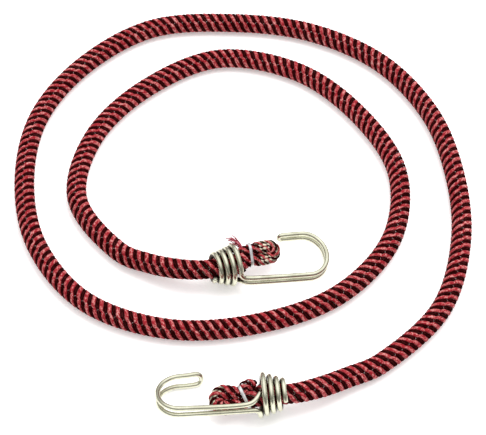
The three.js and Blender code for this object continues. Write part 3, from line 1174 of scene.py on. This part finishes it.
@dataclass
class BungeeCord:
    """The cord from one cut tail to the other: rubber strands and the braid round them.

    The right-handed yarns float on top. The left-handed ones lie under them and come up in the columns. The
    route's points have x, y and the share of the way from the floor up to the height of the nearer cone.
    """

    end_a: CordEnd
    end_b: CordEnd
    radius: float = 4.5
    length: float = 1.106
    step: float = 0.6
    lead: float = 16.6
    yarns: int = 8
    flatness: float = 0.35
    fullness: float = 0.22
    clear: float = 0.08
    column_reach: float = 0.22
    column_pull: float = 0.21
    column_squeeze: float = 0.3
    unevenness: float = 0.3
    open_unevenness: float = 4.0
    open_gap: float = 0.28
    face_lean: float = 38.0
    strand_rows: tuple[int, ...] = (2, 4, 4, 2)
    strand_pitch: float = 1.5
    strand_side: float = 1.42
    strand_sides: int = 6
    strand_every: int = 4
    layers: tuple[YarnLayer, ...] = (
        YarnLayer("red_right", Finish.RED, Hand.RIGHT, fill=1.12, start=0.0, depth=0.92, column_depth=2.3),
        YarnLayer(
            "black_right", Finish.BLACK, Hand.RIGHT, fill=0.95, start=0.125, depth=1.05, column_depth=2.4,
        ),
        YarnLayer(
            "red_left", Finish.PALE_RED, Hand.LEFT, fill=0.22, start=0.125, depth=2.45, column_depth=1.6,
            turn_points=32, sides=6,
        ),
        YarnLayer(
            "black_left", Finish.BLACK, Hand.LEFT, fill=0.18, start=0.0, depth=2.45, column_depth=1.7,
            turn_points=32, sides=6,
        ),
    )
    route: tuple[Triple, ...] = (
        (34, -103, 0.72), (46.5, -96.1, 0.28), (60.5, -88.5, 0.04), (88.5, -60, 0), (100.5, -22, 0),
        (100.5, 18, 0), (91, 56.5, 0), (68.5, 89.5, 0), (34.5, 110, 0), (-5, 116.5, 0), (-44.5, 112.5, 0),
        (-76.5, 88.5, 0), (-97, 54.5, 0), (-101.5, 15, 0), (-93, -24, 0), (-69, -55.5, 0), (-32, -70, 0),
        (8, -67, 0), (44.5, -51, 0), (69, -20, 0), (73.5, 19.5, 0), (56.5, 55.5, 0), (28, 83, 0),
        (-10.5, 92, 0), (-45.5, 73, 0), (-70, 41.5, 0), (-76, 3, 0), (-55, -27.7, 0.05), (-42, -35.1, 0.3),
        (-29, -40.5, 0.75),
    )
    stations: list[Station] = field(default_factory=list)
    run_first: int = 0
    run_last: int = 0

    def lay(self) -> None:
        """Lays the whole cord on one smooth line and gives it the sides that the braid's columns face."""
        start_a, start_b = (end.place.at(-WIRE.lead) for end in (self.end_a, self.end_b))
        half = len(self.route) / 2
        run = [Knot(start_a, WIRE.grip_radius)]
        for i, (x, y, share) in enumerate(self.route):
            lifted = start_a.z if i < half else start_b.z
            run.append(Knot(Vector((x, y, mix(self.radius, lifted, share))), self.radius))
        run.append(Knot(start_b, WIRE.grip_radius))
        first, last = self.end_a.knots()[::-1], self.end_b.knots()
        line = smooth_line(first + run + last, self.step)
        places = [knot.point for knot in line]
        self.run_first, self.run_last = places.index(first[-1].point), places.index(last[0].point)
        for place in places[self.run_first:self.run_last + 1]:
            place.z = max(place.z, self.radius + self.fullness + self.clear)
        lean = radians(self.face_lean)
        face = Vector((0.0, -sin(lean), cos(lean)))
        self.stations = framed(line, face, self.run_first, self.run_last)

    def strand_lines(self, first: int, last: int, every: int, end: CordEnd | None) -> list[list[Station]]:
        """Lays the rubber strands side by side in the bore.

        Args:
            first: The first station.
            last: The last station.
            every: Only every so many stations are used.
            end: The folded end, in whose bend the strands show between the yarns, or None in the free run.

        Returns:
            The stations of each strand.
        """
        picked = sorted({*range(first, last, every), last})
        ways = tangents([self.stations[i].point for i in picked])
        lines = []
        for row, count in enumerate(self.strand_rows):
            for i in range(count):
                up = (row - (len(self.strand_rows) - 1) / 2) * self.strand_pitch / self.radius
                over = (i - (count - 1) / 2) * self.strand_pitch / self.radius
                line = []
                for index, way in zip(picked, ways):
                    station = self.stations[index]
                    swell = mix(1.0, end.strand_swell, end.looseness(station.point)) if end else 1.0
                    across = way.cross(station.side)
                    point = station.point + (station.side * up + across * over) * station.size * swell
                    line.append(Station(point, station.size / self.radius * swell, station.side))
                lines.append(line)
        return lines

    def strands(self, shop: Workshop) -> list[Piece]:
        """Makes the rubber strands of the free run and of both folded ends.

        Args:
            shop: The trees and the materials.

        Returns:
            The run's bundle first, then both ends.
        """
        nodes = [f"rubber_strand_{i + 1:02d}" for i in range(sum(self.strand_rows))]
        made = []
        for stretch, first, last, every, end in (
            ("run", self.run_first, self.run_last, self.strand_every, None),
            ("end_a", 0, self.run_first, 1, self.end_a),
            ("end_b", self.run_last, len(self.stations) - 1, 1, self.end_b),
        ):
            lines = self.strand_lines(first, last, every, end)
            name = f"rubber_strands_{stretch}"
            piece = shop.swept(name, lines, Finish.RUBBER, self.strand_sides, self.strand_side)
            made.append(settled(piece, Body.CORD, Slot.STRAND, *nodes))
        return made

    def braid(self, shop: Workshop) -> list[Piece]:
        """Winds the braid: red and black yarns by turns, each way round.

        Args:
            shop: The trees and the materials.

        Returns:
            The yarns of the free run first, then of both ends, in four groups each.
        """
        tree = braid_tree()
        source = line_mesh("cord_line", [self.stations])
        opened = source.data.attributes.new("open", "FLOAT", "POINT")
        points = [station.point for station in self.stations]
        ends = (self.end_a, self.end_b)
        spread = [max(end.looseness(point) * end.spread for end in ends) for point in points]
        opened.data.foreach_set("value", spread)
        travelled = [0.0]
        for before, after in zip(points, points[1:]):
            travelled.append(travelled[-1] + (after - before).length)
        first, last, end = travelled[self.run_first], travelled[self.run_last], travelled[-1]
        made = []
        for stretch, low, high in (("run", first, last), ("end_a", 0.0, first), ("end_b", last, end)):
            for layer in self.layers:
                pace = self.lead / layer.turn_points
                begin, finish = round(low / pace), round(high / pace)
                piece = grown(
                    f"braid_{stretch}_{layer.name}", source, tree, Yarns=self.yarns // 2,
                    Points=finish - begin + 1, Begin=begin * pace * MM, Pace=pace * MM, Sides=layer.sides,
                    Lead=self.lead * MM, Hand=layer.hand.value, Start=layer.start, Yarn_Step=2 / self.yarns,
                    Yarn_Spacing=self.lead / self.yarns * MM, Fill=layer.fill, Flatness=self.flatness,
                    Depth=layer.depth, Column_Depth=layer.column_depth, Column_Reach=self.column_reach,
                    Column_Pull=self.column_pull, Column_Squeeze=self.column_squeeze,
                    Unevenness=self.unevenness, Open_Unevenness=self.open_unevenness, Open_Gap=self.open_gap,
                    Fullness=self.fullness * MM, Material=shop.materials[layer.finish],
                )
                made.append(settled(piece, Body.CORD, Slot.SHEATH, "braided_sheath"))
        discard(source)
        return made

    def declare(self, others: list[Piece]) -> None:
        """Works out the free run's path in metres, and does nothing with it.

        Args:
            others: The other yarns and the strands; not used.
        """
        path = [station.point * MM for station in self.stations[self.run_first:self.run_last + 1]]


@dataclass
class TailThreads:
    """Loose threads at a cut end of the cord, which rise off the tail and bend back over the cone.

    The root is a place along and across the axis, and the radius of the bundle there.
    """

    name: str
    finish: Finish
    end: CordEnd
    root: Triple
    count: int
    rise: float
    back: float
    fan: float
    curl: float
    seed: int
    thickness: float
    root_range: Range = (0.2, 0.9)
    rise_range: Range = (0.75, 1.0)
    back_range: Range = (0.7, 1.05)
    curl_range: Range = (0.4, 1.0)
    rise_power: float = 1.5
    back_power: float = 1.4
    fan_power: float = 1.3
    curl_angle: float = 5.0
    tip_size: float = 0.45
    points: int = 12
    step: float = 0.6
    sides: int = 5

    def lines(self) -> list[list[Station]]:
        """Draws the threads, each in its own curl.

        Returns:
            The stations of each thread.
        """
        draw = random.Random(self.seed)
        place = self.end.place
        aside = place.forward.cross(place.tail)
        along, across, radius = self.root
        root = place.at(along, across)
        lines = []
        for _ in range(self.count):
            angle = draw.uniform(0.0, FULL_TURN)
            reach = radius * draw.uniform(*self.root_range)
            begin = root + place.tail * reach * cos(angle) + aside * reach * sin(angle)
            rise = self.rise * draw.uniform(*self.rise_range)
            back = self.back * draw.uniform(*self.back_range)
            over = self.fan * draw.uniform(-1.0, 1.0)
            turn = self.curl * draw.uniform(*self.curl_range)
            phase = draw.uniform(0.0, FULL_TURN)
            knots = []
            for i in range(self.points + 1):
                share = i / self.points
                bend = self.curl_angle * share + phase
                up = rise * (1 - (1 - share) ** self.rise_power) + turn * share * sin(bend)
                behind = back * share ** self.back_power + turn * share * (cos(bend) - cos(phase))
                point = begin + place.tail * up - place.forward * behind
                point += aside * over * share ** self.fan_power
                knots.append(Knot(point, mix(1.0, self.tip_size, share)))
            lines.append(framed(smooth_line(knots, self.step), aside.orthogonal()))
        return lines

    def build(self, shop: Workshop) -> None:
        """Sweeps the threads and dresses them."""
        made = shop.swept(f"tail_threads_{self.name}", self.lines(), self.finish, self.sides, self.thickness)
        settled(made, Body.CORD, Slot.SHEATH, "braided_sheath")


@dataclass
class Studio:
    """The white floor, the soft light and the camera.

    The camera's target, distance and sensor are in millimetres, and the other sizes and places in metres.
    """

    target: Triple = (1.0, -7.5, 4.5)
    distance: float = 842.4
    elevation: float = 52.0
    sensor: float = 36.0
    focal_pixels: float = 1825.0
    photo_pixels: float = 486.0
    clip_start: float = 0.01
    floor_side: float = 8.0
    floor_height: float = -0.00005
    light_place: Triple = (0.25, 0.2, 1.2)
    light_side: float = 0.7
    light_watts: float = 8.0
    ambient: float = 1.5
    dim: Triple = (0.2, 0.197, 0.19)
    bright: Triple = (1.0, 1.0, 1.0)
    bright_way: Triple = (0.05, 0.28, 0.96)
    dim_from: float = 0.3
    bright_from: float = 0.95

    def aim(self, made: Piece, place: Vector, way: Vector) -> None:
        """Puts a camera or a light at a place and turns it to look a way.

        Args:
            made: The camera or the light.
            place: The place, in metres.
            way: The way it looks.
        """
        made.location = place
        made.rotation_mode = "QUATERNION"
        made.rotation_quaternion = way.to_track_quat("-Z", "Y")

    def camera(self) -> None:
        """Sets the camera at the photograph's viewing angle."""
        data = bpy.data.cameras.new("camera")
        data.lens = self.sensor * self.focal_pixels / self.photo_pixels
        data.sensor_width = self.sensor
        data.sensor_fit = "HORIZONTAL"
        data.clip_start = self.clip_start
        raised = radians(self.elevation)
        back = Vector((0.0, -cos(raised), sin(raised)))
        made = added("camera", data)
        self.aim(made, (Vector(self.target) + back * self.distance) * MM, -back)
        bpy.context.scene.camera = made

    def floor(self) -> None:
        """Lays the white paper floor."""
        half = self.floor_side / 2
        corners = [(x * half, y * half, self.floor_height) for x, y in ((-1, -1), (1, -1), (1, 1), (-1, 1))]
        mesh = bpy.data.meshes.new("paper_floor")
        mesh.from_pydata(corners, [], [(0, 1, 2, 3)])
        mesh.materials.append(PaperFinish().material())
        added("paper_floor", mesh)

    def air(self) -> None:
        """Lights the room from above, and leaves it dim all round."""
        world = bpy.data.worlds.new("studio_air")
        world.use_nodes = True
        maker = NodeMaker(world.node_tree)
        way = maker.node("ShaderNodeTexCoord", {}).beside("Generated")
        height = maker.vector("DOT_PRODUCT", way, Vector_001=self.bright_way).beside("Value")
        share = maker.ramp(height, (self.dim_from, self.bright_from), kind="SMOOTHSTEP")
        sky = world.node_tree.nodes["Background"].inputs
        maker.give(maker.blended(share, self.dim, self.bright), sky["Color"])
        maker.give(self.ambient, sky["Strength"])
        bpy.context.scene.world = world

    def light(self) -> None:
        """Hangs one soft light that faces the object and leaves no glare on metal."""
        data = bpy.data.lights.new("key_light", "AREA")
        data.size = self.light_side
        data.energy = self.light_watts
        made = added("key_light", data)
        self.aim(made, Vector(self.light_place), -Vector(self.light_place))
        made.visible_glossy = False

    def build(self) -> None:
        """Lays the floor and sets up the light."""
        self.floor()
        self.air()
        self.light()
        bpy.context.scene.view_settings.view_transform = "Standard"


def main() -> None:
    """Builds the camera, the cord, its ends and the hooks, and lights them."""
    logging.basicConfig(level=logging.INFO, format="%(message)s")
    studio = Studio()
    studio.camera()
    shop = Workshop()

    end_a = CordEnd(
        HookFrame(HOOK_A), opened=16.0, spread=0.3, strand_swell=1.42, neck_lift=-0.9, mouth_radius=4.2,
        tail=(
            (7.2, 1.7, 2.5), (6.5, 3.2, 2.4), (5.3, 4.1, 2.5), (3.6, 4.3, 2.5), (2.0, 4.0, 2.2),
            (1.2, 3.8, 1.5),
        ),
    )
    end_b = CordEnd(
        HookFrame(HOOK_B), opened=14.0, spread=1.0, strand_swell=1.57, neck_lift=0.5, mouth_radius=4.8,
        tail=((5.1, 5.3, 2.5), (4.2, 5.4, 2.3), (3.2, 5.2, 2.1), (2.2, 4.6, 1.7), (1.4, 4.1, 1.3)),
    )
    cord = BungeeCord(end_a, end_b)
    cord.lay()
    strands = cord.strands(shop)
    run, *yarns = cord.braid(shop)
    cord.declare(yarns + strands)

    root_a, root_b, mouth_b = (3.4, 5.4, 1.3), (4.0, 6.1, 1.7), (1.8, 5.7, 1.1)
    for threads in (
        TailThreads(
            "a_white", Finish.WHITE, end_a, root_a, count=8, rise=2.4, back=0.3, fan=1.4, curl=0.7, seed=5,
            thickness=0.24,
        ),
        TailThreads(
            "b_pink", Finish.PINK, end_b, root_b, count=16, rise=7.0, back=6.4, fan=0.9, curl=0.35, seed=8,
            thickness=0.5,
        ),
        TailThreads(
            "b_white", Finish.WHITE, end_b, root_b, count=5, rise=6.6, back=5.6, fan=1.0, curl=0.4, seed=11,
            thickness=0.3,
        ),
        TailThreads(
            "b_red", Finish.RED, end_b, root_b, count=12, rise=5.2, back=3.4, fan=1.2, curl=0.3, seed=9,
            thickness=0.6,
        ),
        TailThreads(
            "b_black", Finish.BLACK, end_b, mouth_b, count=12, rise=1.1, back=3.6, fan=1.5, curl=0.2,
            seed=12, thickness=1.2,
        ),
    ):
        threads.build(shop)
    for end in (end_a, end_b):
        ClipRing(end).build(shop)
        WireHook(end.place).build(shop)
    studio.build()


if __name__ == "__main__":
    main()
